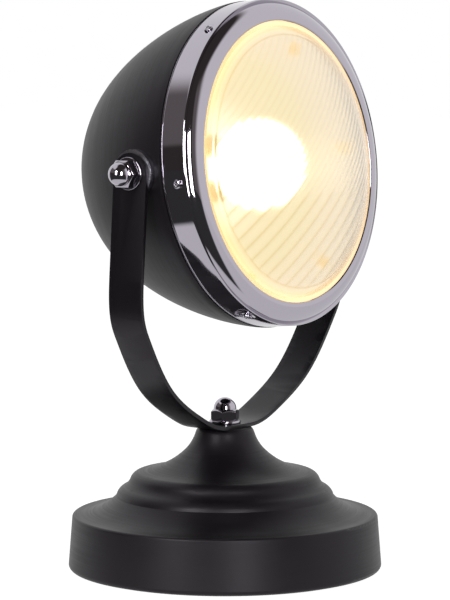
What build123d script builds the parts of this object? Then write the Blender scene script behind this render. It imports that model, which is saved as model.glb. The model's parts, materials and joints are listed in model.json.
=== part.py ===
from build123d import *
import os
from math import atan, cos, radians, sin, sqrt, tan

# Table lamp: a spun steel base, a flat bar yoke that swivels on it, and a headlamp
# shaped head that tilts between the yoke's arms.
# Origin: centre of the foot on the table. +Z up, +X along the tilt axis, lens towards -Y.
# All sizes are in millimetres.

# Driving dimensions of the base
foot_radius = 80.0            # widest, just above the table
foot_corner = 2.2             # rolled lower corner
foot_clearance = 0.8          # metal edge above the table, the pad carries the lamp
foot_lip = 4.5                # width of the edge that is rolled inwards
wall_flare = 1.9              # the wall's top is this much narrower
rim_height = 28.7
rim_corner = 1.6
cove_radius = 55.6            # where the hollow slope meets the lower step
cove_height = 37.8
lower_step_radius = 53.0
lower_step_height = 42.0
lower_step_round = 1.4        # how far the round noses stand out from the steps' corners
upper_step_radius = 46.9
upper_step_height = 49.3
upper_step_drop = 2.7         # from the upper corner to where its nose begins
upper_step_back = 3.1         # and to where it ends
slope_radius = 20.6           # where the shoulder's slope turns up into the neck
slope_height = 61.2
neck_radius = 14.5
neck_top = 73.0
neck_round = 2.6              # height of the rounding under the neck's top
neck_land = 1.1               # its width
base_wall = 1.5               # spun sheet

plate_thickness = 1.2
plate_clearance = 0.5
pad_width = 19.0
weight_gap = 4.5              # between the iron and the wall
weight_thickness = 12.0
weight_chamfer = 1.0
weight_recess_radius = 12.0
weight_web = 3.8              # iron left above the nut's recess

# Driving dimensions of the M8 fasteners
rod_radius = 4.0
hole_clearance = 0.3          # radial, round a rod or bolt
thread_clearance = 0.05       # radial, between a thread and its nut
nut_across_flats = 13.0
nut_thickness = 6.5
washer_radius = 8.0
washer_thickness = 1.6
cap_nut_hex = 5.5             # height of a cap nut's hexagon
cap_nut_height = 11.6
cap_nut_collar = 0.3          # between the hexagon and the dome
cap_nut_land = 6.0            # radius of the hexagon's flat top inside its chamfer
cap_nut_chamfer = 30.0        # degrees
base_nut_turn = 24.6          # degrees, where the base nut's corner came to rest
cap_nut_wall = 3.0            # metal left over the end of the bore
rod_end_gap = 1.0             # from the rod's end to the end of the bore
bolt_head = 5.3
touch = 0.05                  # play between faces that seat on each other

# Driving dimensions of the yoke
bar_width = 20.0
bar_thickness = 2.0
arm_gap = 2.5                 # between an arm and the widest part of the bowl
yoke_bend_height = 80.0       # height of the bent bottom
yoke_seat = 8.5               # half length of the flat seat on the neck
yoke_bend_power = 1.05        # 1 is an ellipse, more is slacker
pivot_height = 206.0
pivot_forward = 7.7           # the arms lean towards the lens by this much

# Driving dimensions of the head, along its axis from the pivot (s) and from the axis (r)
head_tilt = 6.0               # degrees above level, as it stands
shell_radius = 82.0
shell_front = 15.3            # where the trim ring begins
shell_length = 94.7           # from there to the back of the bowl
shell_long_power = 1.456
shell_round_power = 2.55
shell_wall = 1.2
collar_length = 11.5
grommet_hole = 6.0

ring_inset = 0.25             # the ring's band is this much smaller than the bowl
ring_front = 30.0             # front of the band
ring_sheet = 1.0
ring_bevel = 0.4              # small edges of the ring
ring_step = 1.9               # radial width of the step before the lip
ring_clearance = 0.15         # radial, between the band and the bowl's collar
lip_width = 11.45             # from the band's outside in to the aperture
lip_crest = 32.75             # where the lip turns over, 6 mm out from the aperture
lip_crest_width = 6.0
lip_front = 33.6
lip_land = 0.7                # flat edge round the aperture
lip_root = 1.15               # inside the step, where the lip's inner face begins
screw_count = 6
screw_from_bottom = 25.0      # degrees, first screw, towards -X
screw_place = 24.5            # s of the ring screws
screw_radius = 1.25
screw_head_radius = 2.2
screw_head_height = 1.2
screw_head_taper = 12.0       # degrees
screw_length = 3.9
recess_length = 2.3           # cross recess in the screw's head
recess_width = 0.6
recess_depth = 0.7

lens_cover = 2.9              # the flange reaches this far behind the lip
dome_gap = 0.2                # between the domed part and the lip
lens_drop = 0.5               # edge of the dome behind the front of the lip
lens_edge = 3.0
lens_sag = 18.0
lens_back = 26.9              # s of the lens's rear face
gasket_wall = 1.1
gasket_front = 32.1
gasket_clearance = 0.1

reflector_vertex = -23.0
reflector_flange = 5.2        # width of its flat rim, and of the lens's flange before it
reflector_front = 26.0
reflector_sheet = 0.8
reflector_bend = 0.4          # where the sheet turns out into the flat rim
clip_width = 6.0
clip_sheet = 0.8
clip_length = 6.2
clip_place = 21.0             # s of the back of the clip's tongue
clip_tongue = 20.3            # length of the tongue
clip_clearance = 0.1
slot_clearance = 0.3

holder_hole = 14.4            # in the reflector
holder_skirt = 14.0
holder_flange = 18.0
flange_thickness = 2.6
holder_body_radius = 15.0
holder_end_radius = 9.0
holder_front = -16.0
holder_seat = -21.7           # s of the flange's front, behind the reflector
holder_taper = -50.0
holder_rear = -58.0
holder_floor = -46.0
sleeve_bore = 8.2
sleeve_wall = 1.0
sleeve_front = -19.0
sleeve_rear = -38.0
cable_bore = 4.0
clamp_ring_radius = 17.5
clamp_ring_width = 3.0
contact_plate_radius = 7.0
contact_radius = 2.0
contact_sheet = 0.6
cap_radius = 6.9              # screw cap of the bulb
cap_wall = 0.6
cap_front = -18.0
cap_rear = -40.5
contact_tip = -42.0
bulb_radius = 22.5
bulb_centre = 13.5
bulb_collar = 1.5             # straight neck in front of the cap
bulb_insert = 4.0             # neck inside the cap
bulb_wall = 0.9

spacer_radius = 11.5
saddle_depth = 9.0            # from the bowl's widest in to the flat under the bolt head
saddle_clearance = 0.02       # between the discs and the bowl's curved wall
grommet_flange = 8.5
grommet_lip = 1.8
grommet_round = 0.5
cord_hole = 3.5

# Sizes that follow from these
rim_radius = foot_radius - wall_flare
wall_inner_radius = foot_radius - base_wall
weight_radius = wall_inner_radius - weight_gap
pad_radius = foot_radius - foot_lip - plate_clearance
ring_radius = shell_radius - ring_inset
aperture_radius = ring_radius - lip_width
lens_radius = aperture_radius + lens_cover
dome_radius = aperture_radius - dome_gap
reflector_radius = lens_radius - reflector_flange
yoke_half_width = shell_radius + arm_gap
saddle_inner_face = shell_radius - saddle_depth


# The head's own directions: forward along its axis, and up across it
pivot_point = Vector(0, -pivot_forward, pivot_height)
head_forward = Vector(0, -cos(radians(head_tilt)), sin(radians(head_tilt)))
head_up = Vector(0, sin(radians(head_tilt)), cos(radians(head_tilt)))
head_axis = Axis(pivot_point, head_forward)
head_section = Plane(origin=pivot_point, x_dir=head_forward, z_dir=(-1, 0, 0))

sides = (-1, 1)


def radial_plane(turn, along, out):
    """Plane on a cylinder round the head's axis, facing outwards, its x along the axis."""
    outward = Vector(-sin(radians(turn)), 0, 0) - head_up * cos(radians(turn))
    return Plane(
        origin=pivot_point + head_forward * along + outward * out,
        x_dir=head_forward,
        z_dir=outward,
    )


def side_plane(side, distance, height=pivot_height, forward=pivot_forward):
    """Plane across the tilt axis, facing away from the middle."""
    return Plane(origin=(side * distance, -forward, height), x_dir=(0, 1, 0), z_dir=(side, 0, 0))


screw_turns = [screw_from_bottom + 360 / screw_count * i for i in range(screw_count)]
os.makedirs("parts", exist_ok=True)

# Base shell: one spun sheet, wall, hollow slope, two steps and a hollow neck
with BuildPart() as base_shell:
    with BuildSketch(Plane.XZ) as base_section:
        with BuildLine():
            across = -2 * neck_radius
            foot = Line((across, foot_clearance), (foot_radius - foot_corner, foot_clearance))
            corner = RadiusArc(
                foot @ 1, (foot_radius, foot_clearance + foot_corner), -foot_corner
            )
            wall = Line(corner @ 1, (rim_radius, rim_height - rim_corner))
            rim = RadiusArc(wall @ 1, (rim_radius - rim_corner, rim_height), -rim_corner)
            cove = TangentArc(rim @ 1, (cove_radius, cove_height), tangent=rim % 1)
            nose = ThreePointArc(
                cove @ 1,
                (lower_step_radius + lower_step_round, lower_step_height - lower_step_round),
                (lower_step_radius - 0.7 * lower_step_round, lower_step_height + 0.4 * lower_step_round),
            )
            ledge = TangentArc(
                nose @ 1,
                (upper_step_radius + 0.55 * upper_step_drop, upper_step_height - upper_step_drop),
                tangent=nose % 1,
            )
            shoulder = TangentArc(
                ledge @ 1,
                (upper_step_radius - upper_step_back, upper_step_height + 0.3 * upper_step_back),
                tangent=ledge % 1,
            )
            slope = TangentArc(shoulder @ 1, (slope_radius, slope_height), tangent=shoulder % 1)
            neck = TangentArc(
                slope @ 1, (neck_radius + 0.2 * neck_round, neck_top - neck_round), tangent=slope % 1
            )
            crown = TangentArc(neck @ 1, (neck_radius - neck_land, neck_top), tangent=neck % 1)
            Polyline(crown @ 1, (across, neck_top), (across, foot_clearance))
        make_face()
        offset(base_section.face(), amount=-base_wall, mode=Mode.SUBTRACT)
        with Locations((rod_radius + hole_clearance, neck_top / 2)):
            Rectangle(-2 * across, 2 * neck_top, align=(Align.MAX, Align.CENTER), mode=Mode.SUBTRACT)
        with Locations(((foot_radius - foot_lip) / 2, 0)):
            Rectangle(foot_radius - foot_lip, 4 * base_wall, mode=Mode.SUBTRACT)
    revolve(axis=Axis.Z)
base_shell.part.label = "base_shell"
export_step(base_shell.part, "parts/base_shell.step")


# Cast iron weight, recessed underneath for the rod's lower nut
weight_bottom = foot_clearance + base_wall + touch + plate_thickness + touch
weight_top = weight_bottom + weight_thickness
recess_roof = weight_top - weight_web
with BuildPart() as base_weight:
    with BuildSketch(Plane.XZ):
        with Locations((rod_radius + hole_clearance, weight_bottom)):
            Rectangle(
                weight_radius - rod_radius - hole_clearance, weight_thickness, align=Align.MIN
            )
        with Locations((0, weight_bottom)):
            Rectangle(
                weight_recess_radius, recess_roof - weight_bottom, align=Align.MIN,
                mode=Mode.SUBTRACT,
            )
    revolve(axis=Axis.Z)
    outer_edges = base_weight.edges().filter_by(GeomType.CIRCLE).sort_by(SortBy.RADIUS)[-2:]
    chamfer(outer_edges, weight_chamfer)
base_weight.part.label = "base_weight"
export_step(base_weight.part, "parts/base_weight.step")

# Cover plate, held in by the rolled edge, and the soft pad glued under it
plate_bottom = foot_clearance + base_wall + touch
with BuildPart() as base_plate:
    with BuildSketch(Plane.XY.offset(plate_bottom)):
        Circle(wall_inner_radius - plate_clearance)
        Circle(weight_recess_radius + plate_clearance, mode=Mode.SUBTRACT)
    extrude(amount=plate_thickness)
base_plate.part.label = "base_plate"
export_step(base_plate.part, "parts/base_plate.step")

with BuildPart() as foot_pad:
    with BuildSketch():
        Circle(pad_radius)
        Circle(pad_radius - pad_width, mode=Mode.SUBTRACT)
    extrude(amount=plate_bottom)
foot_pad.part.label = "foot_pad"
export_step(foot_pad.part, "parts/foot_pad.step")

# Stack on the rod above the neck: yoke seat, washer, cap nut
yoke_top = neck_top + bar_thickness
cap_seat = yoke_top + washer_thickness
rod_top = cap_seat + cap_nut_height - cap_nut_wall - rod_end_gap
rod_bottom = recess_roof - washer_thickness - nut_thickness - 0.3

with BuildPart() as center_rod:
    with BuildSketch(Plane.XY.offset(rod_bottom)):
        Circle(rod_radius)
    extrude(amount=rod_top - rod_bottom)
    chamfer(center_rod.edges().filter_by(GeomType.CIRCLE), 0.6)
center_rod.part.label = "center_rod"
export_step(center_rod.part, "parts/center_rod.step")

# Three plain nuts on the rod: under the neck, on the weight and in its recess
neck_underside = neck_top - base_wall
washer_bottoms = (
    neck_underside - washer_thickness,
    weight_top,
    recess_roof - washer_thickness,
)
nut_bottoms = (
    washer_bottoms[0] - nut_thickness,
    washer_bottoms[1] + washer_thickness,
    washer_bottoms[2] - nut_thickness,
)
with BuildPart() as rod_nuts:
    for height in nut_bottoms:
        with BuildSketch(Plane.XY.offset(height)):
            RegularPolygon(nut_across_flats / 2, 6, major_radius=False)
            Circle(rod_radius + thread_clearance, mode=Mode.SUBTRACT)
        extrude(amount=nut_thickness)
rod_nuts.part.label = "rod_nuts"
export_step(rod_nuts.part, "parts/rod_nuts.step")

with BuildPart() as rod_washers:
    for height in washer_bottoms:
        with BuildSketch(Plane.XY.offset(height)):
            Circle(washer_radius)
            Circle(rod_radius + hole_clearance, mode=Mode.SUBTRACT)
        extrude(amount=washer_thickness)
rod_washers.part.label = "rod_washers"
export_step(rod_washers.part, "parts/rod_washers.step")


def section_of(plane):
    """Plane through another plane's axis: its x is the radius, its y runs along the axis."""
    return Plane(origin=plane.origin, x_dir=plane.x_dir, z_dir=-plane.y_dir)


def cap_nut(seat):
    """Domed nut on a plane: hexagon with cut corners, short collar, half sphere, blind bore."""
    ball_radius = cap_nut_height - cap_nut_hex - cap_nut_collar
    cut_width = nut_across_flats - cap_nut_land
    cut_drop = cut_width * tan(radians(cap_nut_chamfer))
    with BuildPart() as nut:
        with BuildSketch(seat):
            RegularPolygon(nut_across_flats / 2, 6, major_radius=False)
        extrude(amount=cap_nut_hex)
        with BuildSketch(section_of(seat)):
            Polygon(
                (0, 0),
                (nut_across_flats, 0),
                (nut_across_flats, cap_nut_hex - cut_drop),
                (cap_nut_land, cap_nut_hex),
                (0, cap_nut_hex),
                align=None,
            )
        revolve(axis=Axis(seat.origin, seat.z_dir), mode=Mode.INTERSECT)
        with BuildSketch(section_of(seat)):
            with BuildLine():
                Polyline(
                    (0, cap_nut_height),
                    (0, 0),
                    (ball_radius, 0),
                    (ball_radius, cap_nut_height - ball_radius),
                )
                RadiusArc(
                    (ball_radius, cap_nut_height - ball_radius), (0, cap_nut_height), -ball_radius
                )
            make_face()
        revolve(axis=Axis(seat.origin, seat.z_dir))
        with BuildSketch(seat):
            Circle(rod_radius + thread_clearance)
        extrude(amount=cap_nut_height - cap_nut_wall, mode=Mode.SUBTRACT)
    return nut.part


def washer(seat):
    """Plain round washer standing on a plane."""
    with BuildPart() as disc:
        with BuildSketch(seat):
            Circle(washer_radius)
            Circle(rod_radius + hole_clearance, mode=Mode.SUBTRACT)
        extrude(amount=washer_thickness)
    return disc.part


base_nut = cap_nut(Plane.XY.offset(cap_seat).rotated((0, 0, base_nut_turn)))
with BuildPart() as base_cap_nut:
    add(base_nut)
base_cap_nut.part.label = "base_cap_nut"
export_step(base_cap_nut.part, "parts/base_cap_nut.step")

base_disc = washer(Plane.XY.offset(yoke_top))
with BuildPart() as base_cap_washer:
    add(base_disc)
base_cap_washer.part.label = "base_cap_washer"
export_step(base_cap_washer.part, "parts/base_cap_washer.step")


def bend_point(turn, skin):
    """Point on the yoke's bend, from its middle (0 degrees) to the start of the arm (90)."""
    across = (yoke_half_width + skin) * sin(radians(turn)) ** yoke_bend_power
    drop = (yoke_bend_height + skin) * cos(radians(turn)) ** yoke_bend_power
    return (across, yoke_top + yoke_bend_height - drop)


# Yoke: one flat bar bent to a U, its arms leaning forward, with rounded ends
bend_turns = (24, 44, 66, 90)
arm_end = pivot_height + bar_width
with BuildPart() as yoke:
    with BuildSketch(Plane.XZ):
        with BuildLine():
            Line((0, yoke_top), (yoke_seat, yoke_top))
            inner_bend = Spline(
                (yoke_seat, yoke_top),
                *[bend_point(turn, 0) for turn in bend_turns],
                tangents=[(1, 0), (0, 1)],
            )
            outer_bend = Spline(
                (yoke_seat, neck_top),
                *[bend_point(turn, bar_thickness) for turn in bend_turns],
                tangents=[(1, 0), (0, 1)],
            )
            Line((0, neck_top), (yoke_seat, neck_top))
            Line((0, neck_top), (0, yoke_top))
            Polyline(
                inner_bend @ 1,
                (yoke_half_width, arm_end),
                (yoke_half_width + bar_thickness, arm_end),
                outer_bend @ 1,
            )
        make_face()
        mirror(about=Plane.YZ)
    extrude(amount=2 * bar_width, both=True)
    with BuildSketch(Plane.YZ):
        Polygon(
            (-bar_width / 2, 0),
            (bar_width / 2, 0),
            (bar_width / 2, yoke_top),
            (bar_width / 2 - pivot_forward, pivot_height),
            (-bar_width / 2 - pivot_forward, pivot_height),
            (-bar_width / 2, yoke_top),
            align=None,
        )
        with Locations((-pivot_forward, pivot_height)):
            Circle(bar_width / 2)
    extrude(amount=2 * yoke_half_width, both=True, mode=Mode.INTERSECT)
    with BuildSketch(Plane.YZ):
        with Locations((-pivot_forward, pivot_height)):
            Circle(rod_radius + hole_clearance)
    extrude(amount=2 * yoke_half_width, both=True, mode=Mode.SUBTRACT)
    with BuildSketch(Plane.XY):
        Circle(rod_radius + hole_clearance)
    extrude(amount=2 * neck_top, mode=Mode.SUBTRACT)
yoke.part.label = "yoke"
export_step(yoke.part, "parts/yoke.step")


def bowl_point(turn, skin):
    """Point (s, r) of the bowl's section, from its front edge (0 degrees) to its back (90)."""
    back = (shell_length - skin) * sin(radians(turn)) ** (2 / shell_long_power)
    out = (shell_radius - skin) * cos(radians(turn)) ** (2 / shell_round_power)
    return (shell_front - back, out)


def turn_at_radius(radius, skin):
    """Where on the bowl's section the given radius is met."""
    share = (radius / (shell_radius - skin)) ** shell_round_power
    return 90 - asin_degrees(sqrt(share))


def turn_at_depth(depth, skin):
    """Where on the bowl's section a depth behind its front edge is met."""
    return asin_degrees(sqrt((depth / (shell_length - skin)) ** shell_long_power))


def asin_degrees(value):
    """Angle whose sine is given, in degrees."""
    return atan(value / sqrt(1 - value * value)) / radians(1)


def bowl_curve(start, end, skin, count=12):
    """Points along the bowl's section between two turns."""
    step = (end - start) / (count - 1)
    return [bowl_point(start + step * i, skin) for i in range(count)]


def bowl_solid(skin):
    """The bowl's space, filled, with its surface moved inwards by skin."""
    with BuildPart() as form:
        with BuildSketch(head_section):
            with BuildLine():
                curve = Spline(*bowl_curve(0, 90, skin), tangents=[(-1, 0), (0, -1)])
                Polyline(curve @ 1, (shell_front, 0), curve @ 0)
            make_face()
        revolve(axis=head_axis)
    return form.part


# Lamp shell: a deep bowl, stepped in at the front for the trim ring
collar_radius = ring_radius - ring_sheet - ring_clearance
collar_front = shell_front + collar_length
outer_curve = bowl_curve(0, turn_at_radius(grommet_hole, 0), 0)
inner_curve = bowl_curve(
    turn_at_depth(shell_wall, shell_wall), turn_at_radius(grommet_hole, shell_wall), shell_wall
)
with BuildPart() as lamp_shell:
    with BuildSketch(head_section):
        with BuildLine():
            outside = Spline(*outer_curve, tangents=[(-1, 0), (-0.035, -1)])
            inside = Spline(*inner_curve, tangents=[(-1, -0.02), (-0.035, -1)])
            Line(outside @ 1, inside @ 1)
            Polyline(
                outside @ 0,
                (shell_front, collar_radius),
                (collar_front, collar_radius),
                (collar_front, collar_radius - shell_wall),
                (shell_front - shell_wall, collar_radius - shell_wall),
                inside @ 0,
            )
        make_face()
    revolve(axis=head_axis)
    with BuildSketch(Plane.YZ):
        with Locations((-pivot_forward, pivot_height)):
            Circle(rod_radius + hole_clearance)
    extrude(amount=2 * shell_radius, both=True, mode=Mode.SUBTRACT)
    for turn in screw_turns:
        with BuildSketch(radial_plane(turn, screw_place, ring_radius)):
            Circle(screw_radius + hole_clearance)
        extrude(amount=-screw_length, mode=Mode.SUBTRACT)
lamp_shell.part.label = "lamp_shell"
export_step(lamp_shell.part, "parts/lamp_shell.step")

# Trim ring: plated sheet, a band over the collar, a small step, then the rounded lip
band_inner = ring_radius - ring_sheet
step_radius = ring_radius - ring_step
with BuildPart() as trim_ring:
    with BuildSketch(head_section):
        with BuildLine():
            rear = shell_front + touch
            Polyline(
                (ring_front - ring_sheet, band_inner),
                (rear, band_inner),
                (rear, ring_radius - ring_bevel),
                (rear + ring_bevel, ring_radius),
                (ring_front - ring_sheet, ring_radius),
            )
            band_edge = RadiusArc(
                (ring_front - ring_sheet, ring_radius), (ring_front, band_inner), ring_sheet
            )
            groove = Polyline(
                band_edge @ 1,
                (ring_front, step_radius + ring_bevel),
                (ring_front - ring_bevel, step_radius),
                (ring_front + ring_bevel, step_radius - ring_bevel),
            )
            lip = ThreePointArc(
                groove @ 1,
                (lip_crest, aperture_radius + lip_crest_width),
                (lip_front, aperture_radius + lip_land),
            )
            Polyline(
                lip @ 1,
                (lip_front - ring_bevel, aperture_radius),
                (lip_front - ring_sheet, aperture_radius),
                (lip_front - ring_sheet, aperture_radius + lip_land),
            )
            lip_inside = ThreePointArc(
                (lip_front - ring_sheet, aperture_radius + lip_land),
                (lip_crest - 0.87 * ring_sheet, aperture_radius + lip_crest_width - 0.45 * ring_sheet),
                (ring_front - ring_bevel, step_radius - lip_root),
            )
            Polyline(
                lip_inside @ 1,
                (ring_front - ring_sheet - ring_bevel, step_radius),
                (ring_front - ring_sheet, step_radius + ring_bevel),
                (ring_front - ring_sheet, band_inner),
            )
        make_face()
    revolve(axis=head_axis)
    for turn in screw_turns:
        with BuildSketch(radial_plane(turn, screw_place, ring_radius + ring_sheet)):
            Circle(screw_radius + thread_clearance)
        extrude(amount=-screw_length, mode=Mode.SUBTRACT)
trim_ring.part.label = "trim_ring"
export_step(trim_ring.part, "parts/trim_ring.step")

# Six cross-head screws round the band, and the angle clips that they pull against the collar
with BuildPart() as ring_screws:
    for turn in screw_turns:
        head_seat = radial_plane(turn, screw_place, ring_radius)
        with BuildSketch(head_seat):
            Circle(screw_head_radius)
        extrude(amount=screw_head_height, taper=screw_head_taper)
        with BuildSketch(head_seat):
            Circle(screw_radius)
        extrude(amount=-screw_length)
        with BuildSketch(head_seat.offset(screw_head_height - recess_depth)):
            Rectangle(recess_length, recess_width)
            Rectangle(recess_width, recess_length)
        extrude(amount=screw_head_height, mode=Mode.SUBTRACT)
ring_screws.part.label = "ring_screws"
export_step(ring_screws.part, "parts/ring_screws.step")

clip_outer = collar_radius - shell_wall - clip_clearance
along_clip = (Align.MIN, Align.CENTER)
with BuildPart() as retainer_clips:
    for turn in screw_turns:
        clip_plane = radial_plane(turn, clip_place, clip_outer)
        with BuildSketch(clip_plane):
            Rectangle(clip_length, clip_width, align=along_clip)
        extrude(amount=-clip_sheet)
        with BuildSketch(clip_plane):
            Rectangle(clip_sheet, clip_width, align=along_clip)
        extrude(amount=-clip_tongue)
        with BuildSketch(radial_plane(turn, screw_place, clip_outer)):
            Circle(screw_radius + thread_clearance)
        extrude(amount=-2 * clip_sheet, mode=Mode.SUBTRACT)
retainer_clips.part.label = "retainer_clips"
export_step(retainer_clips.part, "parts/retainer_clips.step")



def dome_arc(start, radius, sag):
    """Arc of a shallow dome, from its edge to its crown on the axis."""
    return RadiusArc((start, radius), (start + sag, 0), (radius**2 + sag**2) / (2 * sag))


# Lens: a domed glass with a flange, in a soft gasket under the ring's lip
flange_front = lens_back + lens_edge
dome_edge = lip_front - lens_drop
bore_edge = dome_edge - lens_edge / 2
bore_radius = dome_radius - lens_edge
with BuildPart() as lens:
    with BuildSketch(head_section):
        with BuildLine():
            front = dome_arc(dome_edge, dome_radius, lens_sag)
            back = dome_arc(bore_edge, bore_radius, lens_sag - lens_edge / 2)
            Polyline(
                front @ 0,
                (flange_front, dome_radius),
                (flange_front, lens_radius),
                (lens_back, lens_radius),
                (lens_back, bore_radius),
                back @ 0,
            )
            Line(back @ 1, front @ 1)
        make_face()
    revolve(axis=head_axis)
lens.part.label = "lens"
export_step(lens.part, "parts/lens.step")

gasket_bore = lens_radius + gasket_clearance
with BuildPart() as lens_gasket:
    with BuildSketch(head_section):
        with BuildLine():
            Polyline(
                (lens_back, gasket_bore),
                (flange_front + gasket_clearance, gasket_bore),
                (flange_front + gasket_clearance, aperture_radius + lip_land),
                (gasket_front, aperture_radius + lip_land),
                (gasket_front, gasket_bore + gasket_wall),
                (lens_back, gasket_bore + gasket_wall),
                close=True,
            )
        make_face()
    revolve(axis=head_axis)
lens_gasket.part.label = "lens_gasket"
export_step(lens_gasket.part, "parts/lens_gasket.step")

# Reflector: plated sheet paraboloid with a flat rim, slotted for the clips
four_focal = reflector_radius**2 / (reflector_front - reflector_vertex)
reflector_rim = lens_radius - gasket_clearance


def reflector_depth(radius):
    """Where along the axis the reflecting surface has this radius."""
    return reflector_vertex + radius**2 / four_focal


def reflector_back(radius):
    """Point on the back of the sheet, square behind the front surface at this radius."""
    slope = 2 * radius / four_focal
    reach = reflector_sheet / sqrt(1 + slope**2)
    return (reflector_depth(radius) - reach, radius + slope * reach)


rim_bend = reflector_radius + reflector_bend
radii = [holder_hole + (rim_bend - holder_hole) * i / 7 for i in range(8)]
with BuildPart() as reflector:
    with BuildSketch(head_section):
        with BuildLine():
            mirror_curve = Spline(*[(reflector_depth(radius), radius) for radius in radii])
            sheet_back = Spline(*[reflector_back(radius) for radius in radii])
            Line(mirror_curve @ 0, sheet_back @ 0)
            rim_front = reflector_depth(rim_bend)
            Polyline(
                mirror_curve @ 1,
                (rim_front, reflector_rim),
                (rim_front - reflector_sheet, reflector_rim),
                (rim_front - reflector_sheet, rim_bend + 2 * reflector_bend),
                sheet_back @ 1,
            )
        make_face()
    revolve(axis=head_axis)
    for turn in screw_turns:
        with BuildSketch(radial_plane(turn, clip_place - slot_clearance, clip_outer)):
            Rectangle(
                clip_sheet + 2 * slot_clearance, clip_width + 2 * slot_clearance, align=along_clip
            )
        extrude(amount=-clip_tongue, mode=Mode.SUBTRACT)
reflector.part.label = "reflector"
export_step(reflector.part, "parts/reflector.step")

# Lamp holder: moulded body clamped to the reflector by a ring, brass sleeve and contact
with BuildPart() as holder_body:
    with BuildSketch(head_section):
        with BuildLine():
            Polyline(
                (holder_front, sleeve_bore),
                (holder_front, holder_skirt),
                (holder_seat, holder_skirt),
                (holder_seat, holder_flange),
                (holder_seat - flange_thickness, holder_flange),
                (holder_seat - flange_thickness, holder_body_radius),
                (holder_taper, holder_body_radius),
                (holder_rear, holder_end_radius),
                (holder_rear, cable_bore),
                (holder_floor, cable_bore),
                (holder_floor, sleeve_bore),
                close=True,
            )
        make_face()
    revolve(axis=head_axis)
holder_body.part.label = "holder_body"
export_step(holder_body.part, "parts/holder_body.step")


def tube_on_axis(start, end, inner, outer):
    """Plain ring or tube on the head's axis."""
    with BuildPart() as tube:
        with BuildSketch(Plane(pivot_point + head_forward * start, (1, 0, 0), head_forward)):
            Circle(outer)
            Circle(inner, mode=Mode.SUBTRACT)
        extrude(amount=end - start)
    return tube.part


clamp_back = reflector_depth(clamp_ring_radius) + gasket_clearance
clamp_tube = tube_on_axis(
    clamp_back, clamp_back + clamp_ring_width, holder_skirt + gasket_clearance, clamp_ring_radius
)
with BuildPart() as holder_ring:
    add(clamp_tube)
holder_ring.part.label = "holder_ring"
export_step(holder_ring.part, "parts/holder_ring.step")

sleeve_outer = sleeve_bore - gasket_clearance
sleeve_tube = tube_on_axis(sleeve_rear, sleeve_front, sleeve_outer - sleeve_wall, sleeve_outer)
with BuildPart() as holder_sleeve:
    add(sleeve_tube)
holder_sleeve.part.label = "holder_sleeve"
export_step(holder_sleeve.part, "parts/holder_sleeve.step")

with BuildPart() as holder_contact:
    with BuildSketch(head_section):
        with BuildLine():
            Polyline(
                (holder_floor + touch, 0),
                (holder_floor + touch, contact_plate_radius),
                (holder_floor + touch + contact_sheet, contact_plate_radius),
                (holder_floor + touch + contact_sheet, contact_radius),
                (contact_tip - touch, contact_radius),
                (contact_tip - touch, 0),
                close=True,
            )
        make_face()
    revolve(axis=head_axis)
holder_contact.part.label = "holder_contact"
export_step(holder_contact.part, "parts/holder_contact.step")

# Bulb: screw cap with its contact, and a thin opal globe whose neck sits in the cap
with BuildPart() as bulb_cap:
    with BuildSketch(head_section):
        with BuildLine():
            Polyline(
                (cap_front, cap_radius - cap_wall),
                (cap_front, cap_radius),
                (cap_rear, cap_radius),
                (contact_tip + contact_sheet, contact_radius + 1),
                (contact_tip, contact_radius),
                (contact_tip, 0),
                (cap_rear + cap_wall, 0),
                (cap_rear + cap_wall, cap_radius - cap_wall),
                close=True,
            )
        make_face()
    revolve(axis=head_axis)
bulb_cap.part.label = "bulb_cap"
export_step(bulb_cap.part, "parts/bulb_cap.step")

bulb_neck = cap_radius - cap_wall - gasket_clearance
neck_to_globe = bulb_centre - cap_front - bulb_collar
flare_radius = (neck_to_globe**2 + bulb_neck**2 - bulb_radius**2) / (2 * (bulb_radius - bulb_neck))
flare_share = bulb_radius / (bulb_radius + flare_radius)
flare_end = (
    bulb_centre - neck_to_globe * flare_share,
    (bulb_neck + flare_radius) * flare_share,
)
with BuildPart() as bulb_glass:
    with BuildSketch(head_section) as bulb_section:
        with BuildLine():
            neck_end = (cap_front + bulb_collar, bulb_neck)
            Polyline(
                (cap_front - 2 * bulb_insert, 0), (cap_front - 2 * bulb_insert, bulb_neck), neck_end
            )
            RadiusArc(neck_end, flare_end, -flare_radius)
            globe = RadiusArc(flare_end, (bulb_centre + bulb_radius, 0), bulb_radius)
            Line(globe @ 1, (cap_front - 2 * bulb_insert, 0))
        make_face()
        mirror(about=Plane.XZ)
        offset(bulb_section.face(), amount=-bulb_wall, mode=Mode.SUBTRACT)
        Rectangle(4 * neck_to_globe, 2 * bulb_radius, align=(Align.CENTER, Align.MAX), mode=Mode.SUBTRACT)
        with Locations((cap_front - bulb_insert, 0)):
            Rectangle(2 * bulb_insert, 4 * bulb_neck, align=(Align.MAX, Align.CENTER), mode=Mode.SUBTRACT)
    revolve(axis=head_axis)
bulb_glass.part.label = "bulb_glass"
export_step(bulb_glass.part, "parts/bulb_glass.step")

# Pivots: on each side a bolt from inside, a wedge under its head, a spacer, washer and cap nut
arm_outer_face = yoke_half_width + bar_thickness
pivot_nut_seat = arm_outer_face + washer_thickness
bolt_end = pivot_nut_seat + cap_nut_height - cap_nut_wall - rod_end_gap
with BuildPart() as pivot_bolts:
    for side in sides:
        with BuildSketch(side_plane(side, saddle_inner_face)):
            RegularPolygon(nut_across_flats / 2, 6, major_radius=False)
        extrude(amount=-bolt_head)
        with BuildSketch(side_plane(side, saddle_inner_face)):
            Circle(rod_radius)
        extrude(amount=bolt_end - saddle_inner_face)
pivot_bolts.part.label = "pivot_bolts"
export_step(pivot_bolts.part, "parts/pivot_bolts.step")

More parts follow.
